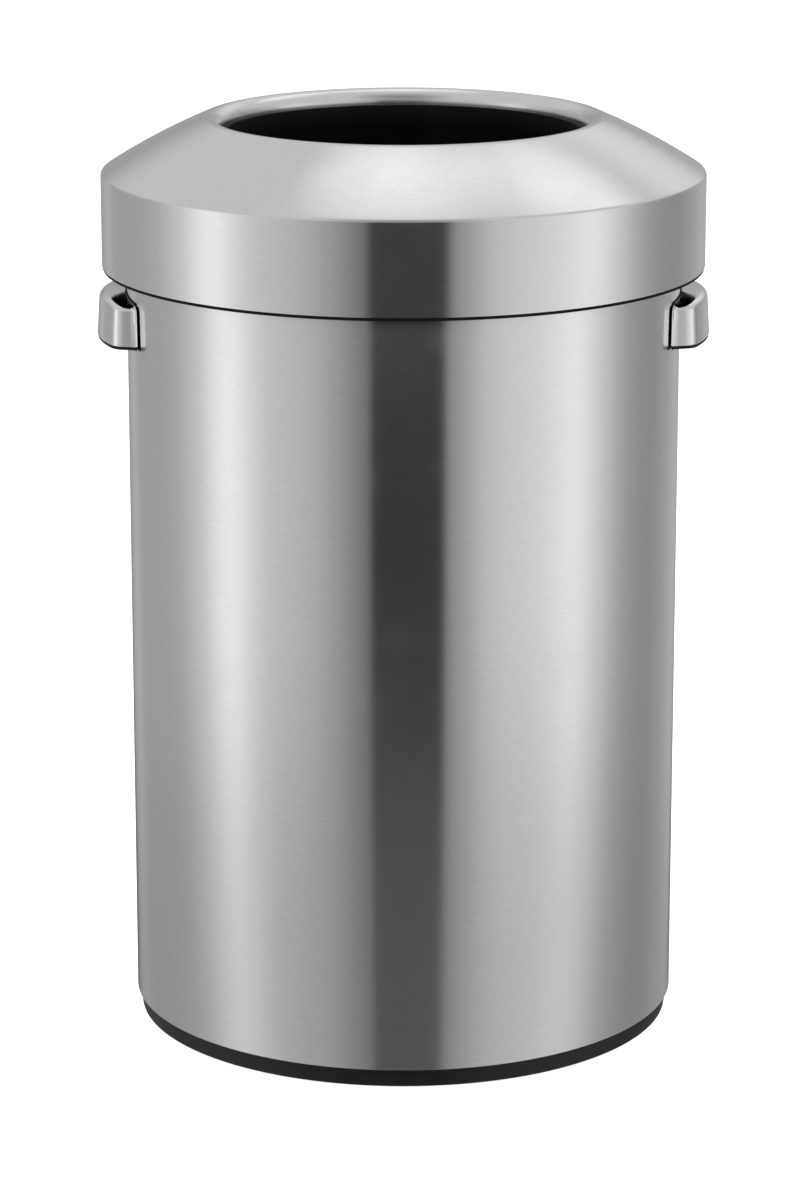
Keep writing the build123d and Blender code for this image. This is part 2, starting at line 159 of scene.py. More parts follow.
def newGroup(name, inputs, outputs):
    group = bpy.data.node_groups.new(name, "ShaderNodeTree")
    for label, kind, value in inputs:
        socket = group.interface.new_socket(label, in_out="INPUT", socket_type=kind)
        if value is not None:
            socket.default_value = value
    for label, kind in outputs:
        group.interface.new_socket(label, in_out="OUTPUT", socket_type=kind)
    return group, group.nodes.new("NodeGroupInput"), group.nodes.new("NodeGroupOutput")


def mathNode(tree, operation, first, second=None, clamp=False):
    node = tree.nodes.new("ShaderNodeMath")
    node.operation = operation
    node.use_clamp = clamp
    for slot, value in zip(node.inputs, (first, second)):
        if value is None:
            continue
        if isinstance(value, (int, float)):
            slot.default_value = value
        else:
            tree.links.new(value, slot)
    return node.outputs[0]


def noiseNode(tree, vector, scale, detail=3.0, roughness=0.5, w=None):
    node = tree.nodes.new("ShaderNodeTexNoise")
    node.noise_dimensions = "4D" if w is not None else "3D"
    node.inputs["Scale"].default_value = scale
    node.inputs["Detail"].default_value = detail
    node.inputs["Roughness"].default_value = roughness
    tree.links.new(vector, node.inputs["Vector"])
    if w is not None:
        tree.links.new(w, node.inputs["W"])
    return node.outputs["Fac"]


def rangeNode(tree, value, low, high, outLow=0.0, outHigh=1.0):
    node = tree.nodes.new("ShaderNodeMapRange")
    node.inputs["From Min"].default_value = low
    node.inputs["From Max"].default_value = high
    node.inputs["To Min"].default_value = outLow
    node.inputs["To Max"].default_value = outHigh
    tree.links.new(value, node.inputs["Value"])
    return node.outputs["Result"]


def makeSpunGrain():
    # lines that run round the axis: noise read along the circle slowly and across it quickly,
    # with the circle given as a unit direction, so it closes without a seam
    group, into, out = newGroup("spunGrain", [
        ("Lines", "NodeSocketFloat", 2600.0), ("Streak", "NodeSocketFloat", 5.0)], [
        ("Line", "NodeSocketFloat"), ("Fine", "NodeSocketFloat"), ("Cloud", "NodeSocketFloat")])
    place = group.nodes.new("ShaderNodeTexCoord")
    split = group.nodes.new("ShaderNodeSeparateXYZ")
    group.links.new(place.outputs["Object"], split.inputs[0])
    x, y, z = split.outputs
    radius = mathNode(group, "SQRT", mathNode(group, "ADD", mathNode(group, "MULTIPLY", x, x),
                                              mathNode(group, "MULTIPLY", y, y)))
    safe = mathNode(group, "MAXIMUM", radius, 0.0001)
    cosine, sine = mathNode(group, "DIVIDE", x, safe), mathNode(group, "DIVIDE", y, safe)
    lines, streak = into.outputs["Lines"], into.outputs["Streak"]
    results = []
    for factor, detail in ((1.0, 2.0), (3.1, 1.0)):
        across = mathNode(group, "MULTIPLY", lines, factor)
        join = group.nodes.new("ShaderNodeCombineXYZ")
        group.links.new(mathNode(group, "MULTIPLY", cosine, streak), join.inputs[0])
        group.links.new(mathNode(group, "MULTIPLY", sine, streak), join.inputs[1])
        group.links.new(mathNode(group, "MULTIPLY", z, across), join.inputs[2])
        depth = mathNode(group, "MULTIPLY", radius, across)
        results.append(noiseNode(group, join.outputs[0], 1.0, detail, 0.6, depth))
    group.links.new(rangeNode(group, results[0], 0.3, 0.7), out.inputs["Line"])
    group.links.new(rangeNode(group, results[1], 0.3, 0.7), out.inputs["Fine"])
    cloud = noiseNode(group, place.outputs["Object"], 9.0, 4.0, 0.55)
    group.links.new(rangeNode(group, cloud, 0.3, 0.7), out.inputs["Cloud"])
    return group


def makeEdgeBand():
    # mask that is 1 within a width of a given height, and falls off softly
    group, into, out = newGroup("edgeBand", [
        ("Height", "NodeSocketFloat", 0.0), ("Width", "NodeSocketFloat", 0.002)], [
        ("Mask", "NodeSocketFloat")])
    place = group.nodes.new("ShaderNodeTexCoord")
    split = group.nodes.new("ShaderNodeSeparateXYZ")
    group.links.new(place.outputs["Object"], split.inputs[0])
    away = mathNode(group, "ABSOLUTE", mathNode(group, "SUBTRACT", split.outputs[2],
                                                into.outputs["Height"]))
    near = mathNode(group, "SUBTRACT", 1.0, mathNode(group, "DIVIDE", away,
                                                     into.outputs["Width"]), clamp=True)
    uneven = noiseNode(group, place.outputs["Object"], 130.0, 4.0, 0.6)
    mask = mathNode(group, "MULTIPLY", near, rangeNode(group, uneven, 0.35, 0.65, 0.3, 1.0),
                    clamp=True)
    group.links.new(mask, out.inputs["Mask"])
    return group


def makeSmudge():
    # finger marks and wiped dust: broad clouds with finer ones inside them
    group, into, out = newGroup("smudge", [
        ("Size", "NodeSocketFloat", 30.0)], [("Mask", "NodeSocketFloat"),
                                             ("Speck", "NodeSocketFloat")])
    place = group.nodes.new("ShaderNodeTexCoord")
    broad = noiseNode(group, place.outputs["Object"], 14.0, 3.0, 0.5)
    node = group.nodes.new("ShaderNodeTexNoise")
    node.inputs["Detail"].default_value = 5.0
    group.links.new(place.outputs["Object"], node.inputs["Vector"])
    group.links.new(into.outputs["Size"], node.inputs["Scale"])
    both = mathNode(group, "MULTIPLY", rangeNode(group, broad, 0.4, 0.65),
                    rangeNode(group, node.outputs["Fac"], 0.35, 0.7), clamp=True)
    group.links.new(both, out.inputs["Mask"])
    speck = noiseNode(group, place.outputs["Object"], 1400.0, 1.0, 0.5)
    group.links.new(rangeNode(group, speck, 0.66, 0.74), out.inputs["Speck"])
    return group


def makeMouldGrain():
    # fine leathery grain of a spark-eroded mould, with faint flow clouds
    group, into, out = newGroup("mouldGrain", [
        ("Size", "NodeSocketFloat", 1500.0)], [("Height", "NodeSocketFloat"),
                                               ("Flow", "NodeSocketFloat")])
    place = group.nodes.new("ShaderNodeTexCoord")
    cells = group.nodes.new("ShaderNodeTexVoronoi")
    cells.feature = "SMOOTH_F1"
    group.links.new(place.outputs["Object"], cells.inputs["Vector"])
    group.links.new(into.outputs["Size"], cells.inputs["Scale"])
    node = group.nodes.new("ShaderNodeTexNoise")
    node.inputs["Detail"].default_value = 3.0
    group.links.new(place.outputs["Object"], node.inputs["Vector"])
    group.links.new(into.outputs["Size"], node.inputs["Scale"])
    height = mathNode(group, "ADD", cells.outputs["Distance"],
                      mathNode(group, "MULTIPLY", node.outputs["Fac"], 0.6))
    group.links.new(height, out.inputs["Height"])
    flow = noiseNode(group, place.outputs["Object"], 22.0, 3.0, 0.5)
    group.links.new(rangeNode(group, flow, 0.3, 0.7), out.inputs["Flow"])
    return group


spunGrain = makeSpunGrain()
edgeBand = makeEdgeBand()
smudge = makeSmudge()
mouldGrain = makeMouldGrain()
print("stage: node groups made")


def newFinish(name, base, metallic, roughness, **fixed):
    material = bpy.data.materials.new(name)
    material.use_nodes = True
    shader = material.node_tree.nodes["Principled BSDF"]
    shader.inputs["Base Color"].default_value = (*base, 1.0)
    shader.inputs["Metallic"].default_value = metallic
    shader.inputs["Roughness"].default_value = roughness
    for label, value in fixed.items():
        shader.inputs[label.replace("_", " ")].default_value = value
    material.diffuse_color = (*base, 1.0)
    return material, material.node_tree, shader


def placeGroup(tree, group, **values):
    node = tree.nodes.new("ShaderNodeGroup")
    node.node_tree = group
    for label, value in values.items():
        node.inputs[label].default_value = value
    return node.outputs


def mixColours(tree, factor, first, second):
    node = tree.nodes.new("ShaderNodeMix")
    node.data_type = "RGBA"
    for slot, value in ((node.inputs[6], first), (node.inputs[7], second)):
        if isinstance(value, tuple):
            slot.default_value = (*value, 1.0)
        else:
            tree.links.new(value, slot)
    tree.links.new(factor, node.inputs[0])
    return node.outputs[2]


def bumpFrom(tree, shader, height, strength, distance):
    bump = tree.nodes.new("ShaderNodeBump")
    bump.inputs["Strength"].default_value = strength
    bump.inputs["Distance"].default_value = distance
    tree.links.new(height, bump.inputs["Height"])
    tree.links.new(bump.outputs["Normal"], shader.inputs["Normal"])
    return bump


steelLook = {"base": (0.775, 0.775, 0.773), "pale": (0.81, 0.81, 0.808),
             "dull": (0.735, 0.735, 0.733), "roughness": 0.165, "stretch": 0.95,
             "lines": 2600.0, "streak": 42.0,      # lines per metre across, cells per radian along
             "bump": 0.14, "depth": 0.00003, "smearSize": 34.0}
lidSteelLook = dict(steelLook, roughness=0.18, lines=2200.0)
weldMarks = {"pitch": 0.036, "across": 0.0035, "behind": 0.15,
             "ring": (0.60, 0.56, 0.51), "spot": (0.66, 0.65, 0.64)}


def brushedSteel(name, look, bodySeam=False, wornEdges=()):
    # steel brushed round the axis: the highlight is stretched across the lines by anisotropy,
    # and the lines themselves vary colour, roughness and height
    material, tree, shader = newFinish(name, look["base"], 1.0, look["roughness"],
                                       Anisotropic=look["stretch"], Anisotropic_Rotation=0.25)
    tangent = tree.nodes.new("ShaderNodeTangent")
    tangent.direction_type = "RADIAL"
    tangent.axis = "Z"
    tree.links.new(tangent.outputs[0], shader.inputs["Tangent"])
    line, fine, cloud = placeGroup(tree, spunGrain, Lines=look["lines"], Streak=look["streak"])
    smear = placeGroup(tree, smudge, Size=look["smearSize"])[0]
    colour = mixColours(tree, line, look["dull"], look["pale"])
    colour = mixColours(tree, rangeNode(tree, cloud, 0.0, 1.0, 0.0, 0.35), colour, look["base"])
    rough = mathNode(tree, "ADD", look["roughness"] - 0.02,
                     mathNode(tree, "MULTIPLY", fine, 0.04))
    rough = mathNode(tree, "ADD", rough, mathNode(tree, "MULTIPLY", smear, 0.04))
    height = mathNode(tree, "ADD", mathNode(tree, "MULTIPLY", line, 0.6),
                      mathNode(tree, "MULTIPLY", fine, 0.4))
    for level, width in wornEdges:
        mask = placeGroup(tree, edgeBand, Height=level, Width=width)[0]
        colour = mixColours(tree, rangeNode(tree, mask, 0.0, 1.0, 0.0, 0.5), colour, look["pale"])
        rough = mathNode(tree, "SUBTRACT", rough, mathNode(tree, "MULTIPLY", mask, 0.06))
    if bodySeam:
        colour, rough = seamMarks(tree, weldMarks, colour, rough)
    tree.links.new(colour, shader.inputs["Base Color"])
    tree.links.new(rough, shader.inputs["Roughness"])
    bumpFrom(tree, shader, height, look["bump"], look["depth"])
    return material


def seamMarks(tree, marks, colour, rough):
    # spot welds down the lap at the back: a faint tempered ring round each weld, at an even pitch
    place = tree.nodes.new("ShaderNodeTexCoord")
    split = tree.nodes.new("ShaderNodeSeparateXYZ")
    tree.links.new(place.outputs["Object"], split.inputs[0])
    x, y, z = split.outputs
    step = mathNode(tree, "FRACT", mathNode(tree, "DIVIDE", z, marks["pitch"]))
    dz = mathNode(tree, "MULTIPLY", mathNode(tree, "SUBTRACT", step, 0.5), marks["pitch"])
    across = mathNode(tree, "SUBTRACT", x, marks["across"])
    away = mathNode(tree, "SQRT", mathNode(tree, "ADD", mathNode(tree, "MULTIPLY", across, across),
                                           mathNode(tree, "MULTIPLY", dz, dz)))
    spot = rangeNode(tree, away, 0.0026, 0.0014)
    halo = rangeNode(tree, away, 0.0075, 0.0024)
    back = mathNode(tree, "GREATER_THAN", y, marks["behind"])
    spot, halo = (mathNode(tree, "MULTIPLY", mask, back, clamp=True) for mask in (spot, halo))
    for mask, share, tone in ((halo, 0.12, marks["ring"]), (spot, 0.30, marks["spot"])):
        colour = mixColours(tree, rangeNode(tree, mask, 0.0, 1.0, 0.0, share), colour, tone)
    rough = mathNode(tree, "ADD", rough, mathNode(tree, "MULTIPLY", spot, 0.08))
    return colour, rough


chromeLook = {"base": (0.80, 0.80, 0.80), "roughness": 0.05, "smear": 0.10}


def polishedChrome(look):
    # plated die casting: nearly a mirror, hazier where fingers touch it
    material, tree, shader = newFinish("polishedChrome", look["base"], 1.0, look["roughness"])
    smear, speck = placeGroup(tree, smudge, Size=60.0)
    place = tree.nodes.new("ShaderNodeTexCoord")
    ripple = noiseNode(tree, place.outputs["Object"], 55.0, 2.0, 0.4)
    rough = mathNode(tree, "ADD", look["roughness"],
                     mathNode(tree, "MULTIPLY", smear, look["smear"]))
    rough = mathNode(tree, "ADD", rough, mathNode(tree, "MULTIPLY", speck, 0.12))
    colour = mixColours(tree, rangeNode(tree, smear, 0.0, 1.0, 0.0, 0.25), look["base"],
                        (0.70, 0.70, 0.70))
    tree.links.new(colour, shader.inputs["Base Color"])
    tree.links.new(rough, shader.inputs["Roughness"])
    bumpFrom(tree, shader, ripple, 0.08, 0.0004)
    return material


def mouldedPlastic(name, base, pale, roughness, grain=1500.0, bump=0.25, scuff=0.5, levels=(),
                   gloss=0.5):
    # black or grey plastic: mould grain in the height, flow clouds and dust in the colour,
    # and rubbed edges at given heights
    material, tree, shader = newFinish(name, base, 0.0, roughness, IOR=1.49,
                                       Specular_IOR_Level=gloss)
    height, flow = placeGroup(tree, mouldGrain, Size=grain)
    smear = placeGroup(tree, smudge, Size=26.0)[0]
    colour = mixColours(tree, rangeNode(tree, flow, 0.0, 1.0, 0.0, 0.5), base, pale)
    dust = tuple(min(1.0, c * 2.2 + 0.02) for c in pale)
    colour = mixColours(tree, rangeNode(tree, smear, 0.0, 1.0, 0.0, scuff), colour, dust)
    rough = mathNode(tree, "ADD", roughness, mathNode(tree, "MULTIPLY", smear, 0.14))
    rough = mathNode(tree, "ADD", rough, mathNode(tree, "MULTIPLY", flow, 0.05))
    for level, width in levels:
        mask = placeGroup(tree, edgeBand, Height=level, Width=width)[0]
        colour = mixColours(tree, rangeNode(tree, mask, 0.0, 1.0, 0.0, 0.7), colour, dust)
        rough = mathNode(tree, "SUBTRACT", rough, mathNode(tree, "MULTIPLY", mask, 0.15))
    tree.links.new(colour, shader.inputs["Base Color"])
    tree.links.new(rough, shader.inputs["Roughness"])
    bumpFrom(tree, shader, height, bump, 0.00012)
    return material


def platedSheet(name, base, pale, roughness, spangle, bump):
    # zinc or bare metal: angular crystals in colour and roughness, fine noise in the height
    material, tree, shader = newFinish(name, base, 1.0, roughness)
    place = tree.nodes.new("ShaderNodeTexCoord")
    crystals = tree.nodes.new("ShaderNodeTexVoronoi")
    crystals.inputs["Scale"].default_value = spangle
    tree.links.new(place.outputs["Object"], crystals.inputs["Vector"])
    tone = tree.nodes.new("ShaderNodeSeparateColor")
    tree.links.new(crystals.outputs["Color"], tone.inputs[0])
    smear = placeGroup(tree, smudge, Size=40.0)[0]
    colour = mixColours(tree, tone.outputs[0], base, pale)
    colour = mixColours(tree, rangeNode(tree, smear, 0.0, 1.0, 0.0, 0.5), colour,
                        tuple(c * 0.75 for c in base))
    rough = mathNode(tree, "ADD", roughness - 0.06,
                     mathNode(tree, "MULTIPLY", tone.outputs[1], 0.14))
    rough = mathNode(tree, "ADD", rough, mathNode(tree, "MULTIPLY", smear, 0.12))
    tree.links.new(colour, shader.inputs["Base Color"])
    tree.links.new(rough, shader.inputs["Roughness"])
    fineNoise = noiseNode(tree, place.outputs["Object"], 900.0, 2.0, 0.5)
    bumpFrom(tree, shader, fineNoise, bump, 0.0001)
    return material


finishes = {
    "brushed_stainless": brushedSteel("brushedSteel", steelLook, bodySeam=True,
                                      wornEdges=((0.0138, 0.0012),)),
    "polished_chrome": polishedChrome(chromeLook),
    "black_plastic": mouldedPlastic("blackPlastic", (0.006, 0.006, 0.006), (0.009, 0.009, 0.009),
                                    0.42, scuff=0.2, gloss=0.35, levels=((0.0008, 0.0010),)),
    "handle_plastic": mouldedPlastic("handlePlastic", (0.006, 0.006, 0.006), (0.010, 0.010, 0.010),
                                     0.55, grain=1900.0, scuff=0.15, gloss=0.25),
    "liner_plastic": mouldedPlastic("linerPlastic", (0.006, 0.006, 0.0065), (0.010, 0.010, 0.0105),
                                    0.55, grain=900.0, bump=0.3, scuff=0.25, gloss=0.3,
                                    levels=((0.5663, 0.0012),)),
    "rubber": mouldedPlastic("rubber", (0.013, 0.013, 0.013), (0.020, 0.020, 0.019), 0.78,
                             grain=2400.0, scuff=0.45),
    "zinc_steel": platedSheet("zincSteel", (0.50, 0.51, 0.53), (0.62, 0.63, 0.65), 0.38,
                              160.0, 0.15),
    "screw_steel": platedSheet("screwSteel", (0.55, 0.55, 0.54), (0.66, 0.66, 0.65), 0.30,
                               900.0, 0.1),
    "rivet_aluminium": platedSheet("rivetAluminium", (0.70, 0.70, 0.71), (0.78, 0.78, 0.79), 0.34,
                                   700.0, 0.12),
}
# a darker, duller copy of the black plastic: painted shade, so the inside of the mouth reads black
paintedShadePlastic = mouldedPlastic("paintedShadePlastic", (0.004, 0.004, 0.0045), (0.007, 0.007, 0.0075), 0.6,
                               grain=1200.0, scuff=0.1, gloss=0.15)
lidSteel = brushedSteel("lidSteel", lidSteelLook, wornEdges=((0.5402, 0.0012), (0.6420, 0.0012)))

for node in nodes.values():
    for slot in node.material_slots:
        if slot.material and slot.material.name in finishes:
            slot.material = finishes[slot.material.name]
# the throat ring and the lid frame take the darker copy: painted shade in the mouth and in the line
# under the lid's skirt
for piece in ("throat_ring", "lid_frame"):
    nodes[piece].material_slots[0].material = paintedShadePlastic
print("stage: finishes made")


def dress(piece, body, slotName, *replaced, material=None):
    piece.data.materials.append(material or finishes[slotName])
    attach(piece, body)
    if replaced:
        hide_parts(*replaced)
    return piece


bodySheet = {"radius": 0.1925, "sheet": 0.0008, "low": 0.0138, "high": 0.5618, "edge": 0.00025,
             "seamStep": 0.00045, "seamDrop": 0.0005, "seamRun": 0.016, "lapWidth": 0.014,
             "columns": 256}


def makeBodySheet(size):
    # a sheet rolled into a tube; at the back its outer end stands a hair proud and the other end
    # runs under it, so the radius drops in one short step and comes back over a longer run
    inner, outer = size["radius"] - size["sheet"], size["radius"]
    corners = ((outer, "low"), (outer, "high"), (inner, "high"), (inner, "low"))
    outline = roundedOutline([(radius, size[end], size["edge"]) for radius, end in corners], 4)
    stepAt = math.pi / 2 + size["lapWidth"] / 2 / outer
    narrow = size["seamDrop"] / outer
    run = size["seamRun"] / outer
    near = np.concatenate([stepAt + np.linspace(0.0, 1.0, 5) * narrow,
                           stepAt + narrow + np.linspace(0.0, 1.0, 14)[1:] * run])
    whole = np.linspace(0.0, 2 * math.pi, size["columns"], endpoint=False)
    clear = (whole < stepAt - 0.002) | (whole > stepAt + narrow + run + 0.002)
    angles = np.sort(np.concatenate([whole[clear], near]))

    def drop(u, z):
        into = np.clip((u - stepAt) / narrow, 0.0, 1.0)
        out = np.clip((u - stepAt - narrow) / run, 0.0, 1.0)
        return -size["seamStep"] * into * into * (3 - 2 * into) * (1 - out * out * (3 - 2 * out))
    return turnedSurface("bodySheet", outline, radiusShift=drop, angles=angles)


dress(makeBodySheet(bodySheet), "body", "brushed_stainless", "body_shell")

seamLap = {"inner": 0.1909, "outer": 0.1917, "low": 0.02995, "high": 0.54565, "halfWidth": 0.007,
           "columns": 9, "thinning": 0.6}


def makeSeamLap(size):
    # the lap inside the sheet at the back: a short sector of a thin ring, whose thickness falls
    # off near its long edges with the eighth power of the distance from the middle
    half = size["halfWidth"] / size["outer"]
    across = np.linspace(-1.0, 1.0, size["columns"])
    u = math.pi / 2 + half * across
    outer = np.full(len(u), size["outer"])
    inner = outer - (outer - size["inner"]) * (1 - size["thinning"] * across ** 8)
    section = np.vstack([np.stack([inner * np.cos(u), inner * np.sin(u)], -1),
                         np.stack([outer * np.cos(u), outer * np.sin(u)], -1)[::-1]])
    count = len(section)
    verts = np.vstack([np.hstack([section, np.full((count, 1), size[end])])
                       for end in ("low", "high")])
    edge = np.arange(count)
    after = (edge + 1) % count
    sides = np.stack([edge, after, count + after, count + edge], -1)[:, ::-1]
    faces = sides.tolist() + [edge.tolist(), (count + edge)[::-1].tolist()]
    mesh = bpy.data.meshes.new("seamLap")
    mesh.from_pydata(verts.tolist(), [], faces)
    mesh.update()
    obj = bpy.data.objects.new("seamLap", mesh)
    scene.collection.objects.link(obj)
    return obj


dress(makeSeamLap(seamLap), "body", "brushed_stainless")


lid = {"radius": 0.2095, "sheet": 0.0008, "skirtLow": 0.5402, "shoulder": 0.6040,
       "shoulderRound": 0.003, "mouth": 0.126, "roll": 0.010, "crest": 0.642, "lipLow": 0.627,
       "bow": 5.0,        # degrees by which the slope starts flatter than a straight cone
       "columns": 320, "sharpAngle": 60}


def lidOutline(size, inset):
    # skirt, shoulder, bowed slope, rolled rim and lip as one line, moved inwards by inset;
    # the slope is an arc that leaves the rim's roll tangentially and ends at the shoulder
    rollR, rollZ = size["mouth"] + size["roll"], size["crest"] - size["roll"]
    run, drop = size["radius"] - rollR, rollZ - size["shoulder"]
    cone = math.atan2(drop, run) + math.asin(size["roll"] / math.hypot(run, drop))
    start = cone - math.radians(size["bow"])
    rollCentre = np.array([rollR, rollZ])
    crown = rollCentre + size["roll"] * np.array([math.sin(start), math.cos(start)])
    end = np.array([size["radius"], size["shoulder"]])
    chord = end - crown
    bend = 2 * (math.atan2(-chord[1], chord[0]) - start)
    arcRadius = np.linalg.norm(chord) / (2 * math.sin(bend / 2))
    centre = crown - arcRadius * np.array([math.sin(start), math.cos(start)])
    corner = size["shoulderRound"]
    # the shoulder's rounding is tangent to the skirt and to the slope's arc
    filletR = size["radius"] - corner
    fx = (filletR - centre[0]) / (arcRadius - corner)
    meet = math.asin(min(1.0, fx))
    filletCentre = np.array([filletR, centre[1] + (arcRadius - corner) * math.cos(meet)])
    t = np.linspace(0.0, math.pi / 2 - meet, 12)[:, None]
    shoulder = filletCentre + (corner - inset) * np.hstack([np.cos(t), np.sin(t)])
    t = np.linspace(meet, start, 26)[1:, None]
    slope = centre + (arcRadius - inset) * np.hstack([np.sin(t), np.cos(t)])
    t = np.linspace(start, -math.pi / 2, 22)[1:, None]
    roll = rollCentre + (size["roll"] - inset) * np.hstack([np.sin(t), np.cos(t)])
    heights = np.linspace(size["skirtLow"], filletCentre[1], 8)[:-1]
    side = np.stack([np.full(len(heights), size["radius"] - inset), heights], -1)
    lip = np.array([[size["mouth"] + inset, size["lipLow"]]])
    return np.vstack([side, shoulder, slope, roll, lip])


outside, underside = lidOutline(lid, 0.0), lidOutline(lid, lid["sheet"])
lidCover = turnedSurface("lidCover", np.vstack([outside, underside[::-1]]), lid["columns"])
lidCover.data.set_sharp_from_angle(angle=math.radians(lid["sharpAngle"]))
dress(lidCover, "lid", "brushed_stainless", "lid_cover", material=lidSteel)
print("stage: steel made")


def planContour(size, inset, halfLength=None, corner=None, ends=7, bends=12, front=40):
    # plan of a handle on +X as one open line: the slanted end, a corner arc tangent to it and to
    # the bowed front, the front, and the same again mirrored. The corner's centre lies where it
    # is one corner radius inside both the end's line and the front's circle.
    halfLength = size["halfLength"] if halfLength is None else halfLength
    corner = max((size["corner"] if corner is None else corner) - inset, 0.0015)
    slant = math.radians(size["splay"])
    bow = size["bow"] - inset
    centre = np.array([size["out"] - size["bow"], 0.0])
    outward = np.array([math.sin(slant), -math.cos(slant)])
    along = np.array([math.cos(slant), math.sin(slant)])
    foot = np.array([size["bodyRadius"], -halfLength]) - inset * outward
    share = (-corner - outward @ (centre - foot)) / (bow - corner)
    turn = slant - math.asin(share)
    pivot = centre + (bow - corner) * np.array([math.cos(turn), math.sin(turn)])
    tangent = pivot + corner * outward
    start = tangent - along * ((tangent - foot) @ along + 0.018)
    t = np.linspace(0.0, 1.0, ends, endpoint=False)[:, None]
    line = start + (tangent - start) * t
    t = np.linspace(slant - math.pi / 2, turn, bends, endpoint=False)[:, None]
    arc = pivot + corner * np.hstack([np.cos(t), np.sin(t)])
    t = np.linspace(turn, 0.0, front // 2 + 1)[:, None]
    face = centre + bow * np.hstack([np.cos(t), np.sin(t)])
    half = np.vstack([line, arc, face])
    return np.vstack([half, half[-2::-1] * np.array([1.0, -1.0])])


def loftedCup(name, rings, clampRadius, turned):
    # plan contours stacked at their heights and joined in a closed loop; whatever would lie
    # inside the can is pushed out to a cylinder round its axis, which makes the back of the piece;
    # the left one is the right one turned half round the axis
    loft = np.stack([np.hstack([plan, height]) for plan, height in rings])
    reach = np.hypot(loft[..., 0], loft[..., 1])
    push = np.maximum(reach, clampRadius) / reach
    loft[..., :2] *= push[..., None]
    if turned:
        loft[..., :2] *= -1.0
    rows, cols = loft.shape[:2]
    i, j = np.meshgrid(np.arange(rows), np.arange(cols - 1), indexing="ij")
    k = (i + 1) % rows
    faces = np.stack([i * cols + j, i * cols + j + 1, k * cols + j + 1, k * cols + j],
                     -1).reshape(-1, 4).tolist()
    column = np.arange(rows) * cols
    faces += [column.tolist(), (column + cols - 1)[::-1].tolist()]
    mesh = bpy.data.meshes.new(name)
    mesh.from_pydata(loft.reshape(-1, 3).tolist(), [], faces)
    work = bmesh.new()
    work.from_mesh(mesh)
    bmesh.ops.remove_doubles(work, verts=work.verts, dist=0.000002)
    bmesh.ops.recalc_face_normals(work, faces=work.faces)
    work.to_mesh(mesh)
    work.free()
    mesh.polygons.foreach_set("use_smooth", np.full(len(mesh.polygons), True))
    mesh.update()
    mesh.set_sharp_from_angle(angle=math.radians(42))
    obj = bpy.data.objects.new(name, mesh)
    scene.collection.objects.link(obj)
    return obj


handle = {"halfLength": 0.059, "out": 0.2134, "bow": 0.125, "bodyRadius": 0.1938,
          "corner": 0.0125, "splay": 11.0, "draft": 3.4,           # angles in degrees
          "low": 0.4912, "top": 0.5212, "roofRound": 0.0052, "crown": 0.0016,
          "wall": 0.0024, "roof": 0.0030, "lowRound": 0.0006, "flange": 0.0022, "margin": 0.0004,
          "gripHalf": 0.036, "lining": 0.0014, "gap": 0.00015}


def crownedHeight(size, plan, height):
    # the roof falls away towards both ends with the square of the distance from the middle
    fall = size["crown"] * (plan[:, 1:] / size["halfLength"]) ** 2
    share = np.clip((height - size["low"]) / (size["top"] - size["low"]), 0.0, 1.0)
    return height - fall * share ** 2


def makeHandleShell(size, side, turned):
    # steps of inset and height: along the ceiling, down the inside, round the lower edge, up the
    # drafted outside, round into the roof and in over it
    lean = math.tan(math.radians(size["draft"]))
    low, top, bend = size["low"], size["top"], size["roofRound"]
    wall, ceiling, edge = size["wall"], size["top"] - size["roof"], size["lowRound"]
    steps = [(0.030, ceiling), (0.020, ceiling), (wall + 0.006, ceiling), (wall + 0.0022, ceiling),
             (wall + 0.0014, ceiling - 0.0008), (wall + 0.0002, low + 0.004), (wall, low)]
    for t in np.linspace(0.0, math.pi / 2, 5):
        steps.append((edge * (1 - math.sin(t)), low + edge * (1 - math.cos(t))))
    for height in np.linspace(low + 0.004, top - bend, 6):
        steps.append(((height - low) * lean, height))
    base = (top - bend - low) * lean
    for t in np.linspace(0.0, math.pi / 2, 12)[1:]:
        steps.append((base + bend * (1 - math.cos(t)), top - bend * (1 - math.sin(t))))
    for inset in (0.010, 0.014, 0.018, 0.022, 0.030):
        steps.append((inset, top))
    rings = []
    for inset, height in steps:
        plan = planContour(size, inset)
        rings.append((plan, crownedHeight(size, plan, np.full((len(plan), 1), height))))
    return loftedCup(side + "HandleShell", rings, size["bodyRadius"], turned)


def makeHandleInsert(size, side, turned):
    low, high = size["low"] - size["flange"], size["top"] - size["roof"] - size["gap"]
    inner, outer = size["wall"] + size["gap"] + size["lining"], size["wall"] + size["gap"]
    grip, lining, edge, margin = size["gripHalf"], size["lining"], size["lowRound"], size["margin"]
    roof = high - lining
    # inset, height and half width: the flange first, then up the cup's inside and down its outside
    rows = [(margin, size["low"], None), (margin, low + edge, None), (margin + edge, low, None),
            (inner - edge, low, grip + edge), (inner, low + edge, grip),
            (inner + 0.0012, roof - 0.002, grip - 0.0005), (inner + 0.0030, roof, grip - 0.0020),
            (0.020, roof, grip - 0.004), (0.020, high, grip - 0.002),
            (outer + 0.0030, high, grip + lining - 0.002),
            (outer + 0.0012, high - 0.002, grip + lining), (outer, size["low"], grip + lining)]
    rings = []
    for inset, height, half in rows:
        plan = planContour(size, inset) if half is None else \
            planContour(dict(size, splay=0.0), inset, half + inset, 0.004 + inset)
        rings.append((plan, np.full((len(plan), 1), height)))
    return loftedCup(side + "HandleInsert", rings, size["bodyRadius"] + size["gap"], turned)


for side, turned in (("right", False), ("left", True)):
    dress(makeHandleShell(handle, side, turned), "body", "polished_chrome", side + "_handle_shell")
    dress(makeHandleInsert(handle, side, turned), "body", "handle_plastic", side + "_handle_insert")
print("stage: handles made")


